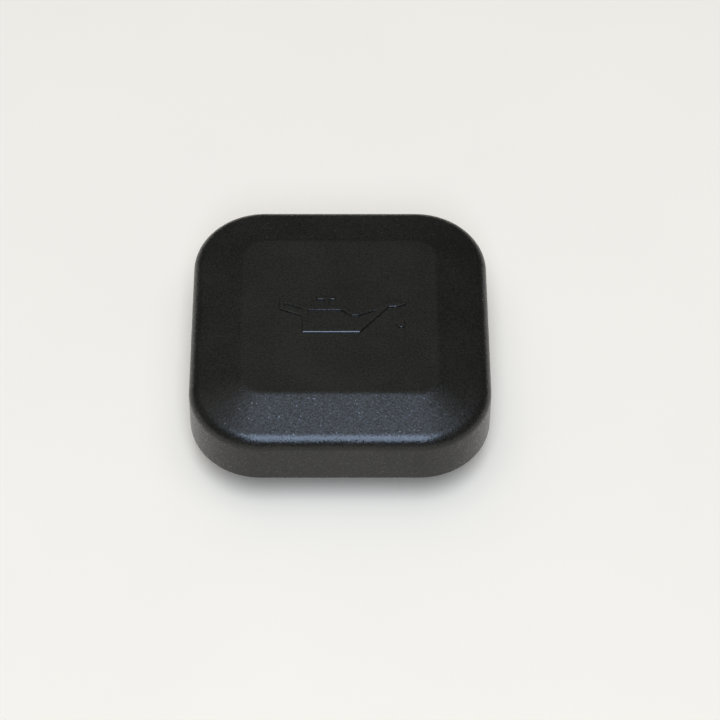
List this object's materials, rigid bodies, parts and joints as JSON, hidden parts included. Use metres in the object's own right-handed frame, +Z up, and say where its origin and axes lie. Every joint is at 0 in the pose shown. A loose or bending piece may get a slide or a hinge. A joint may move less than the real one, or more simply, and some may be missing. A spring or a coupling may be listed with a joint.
{
  "type": "oil filler cap",
  "caption": "Engine oil filler cap: soft rounded-square cover with a sloping border round a flat top, on a bayonet neck with two ramped lugs and a flat rubber seal.",
  "frame": {"origin": "on the cap's axis, in the plane of the neck's end, on which the cap stands", "axes": "+Z up along the cap's axis, out of the flat top; X and Y across the cover's flats, with the picture's viewer on the -Y side"},
  "size_m": [0.066, 0.066, 0.0261],
  "materials": {
    "cover": "spark-eroded grain, satin",
    "core": "as moulded, satin",
    "seal": "matt"
  },
  "bodies": {
    "root": {"cover": "cover", "bayonet_core": "core", "seal_ring": "seal"}
  },
  "joints": []
}
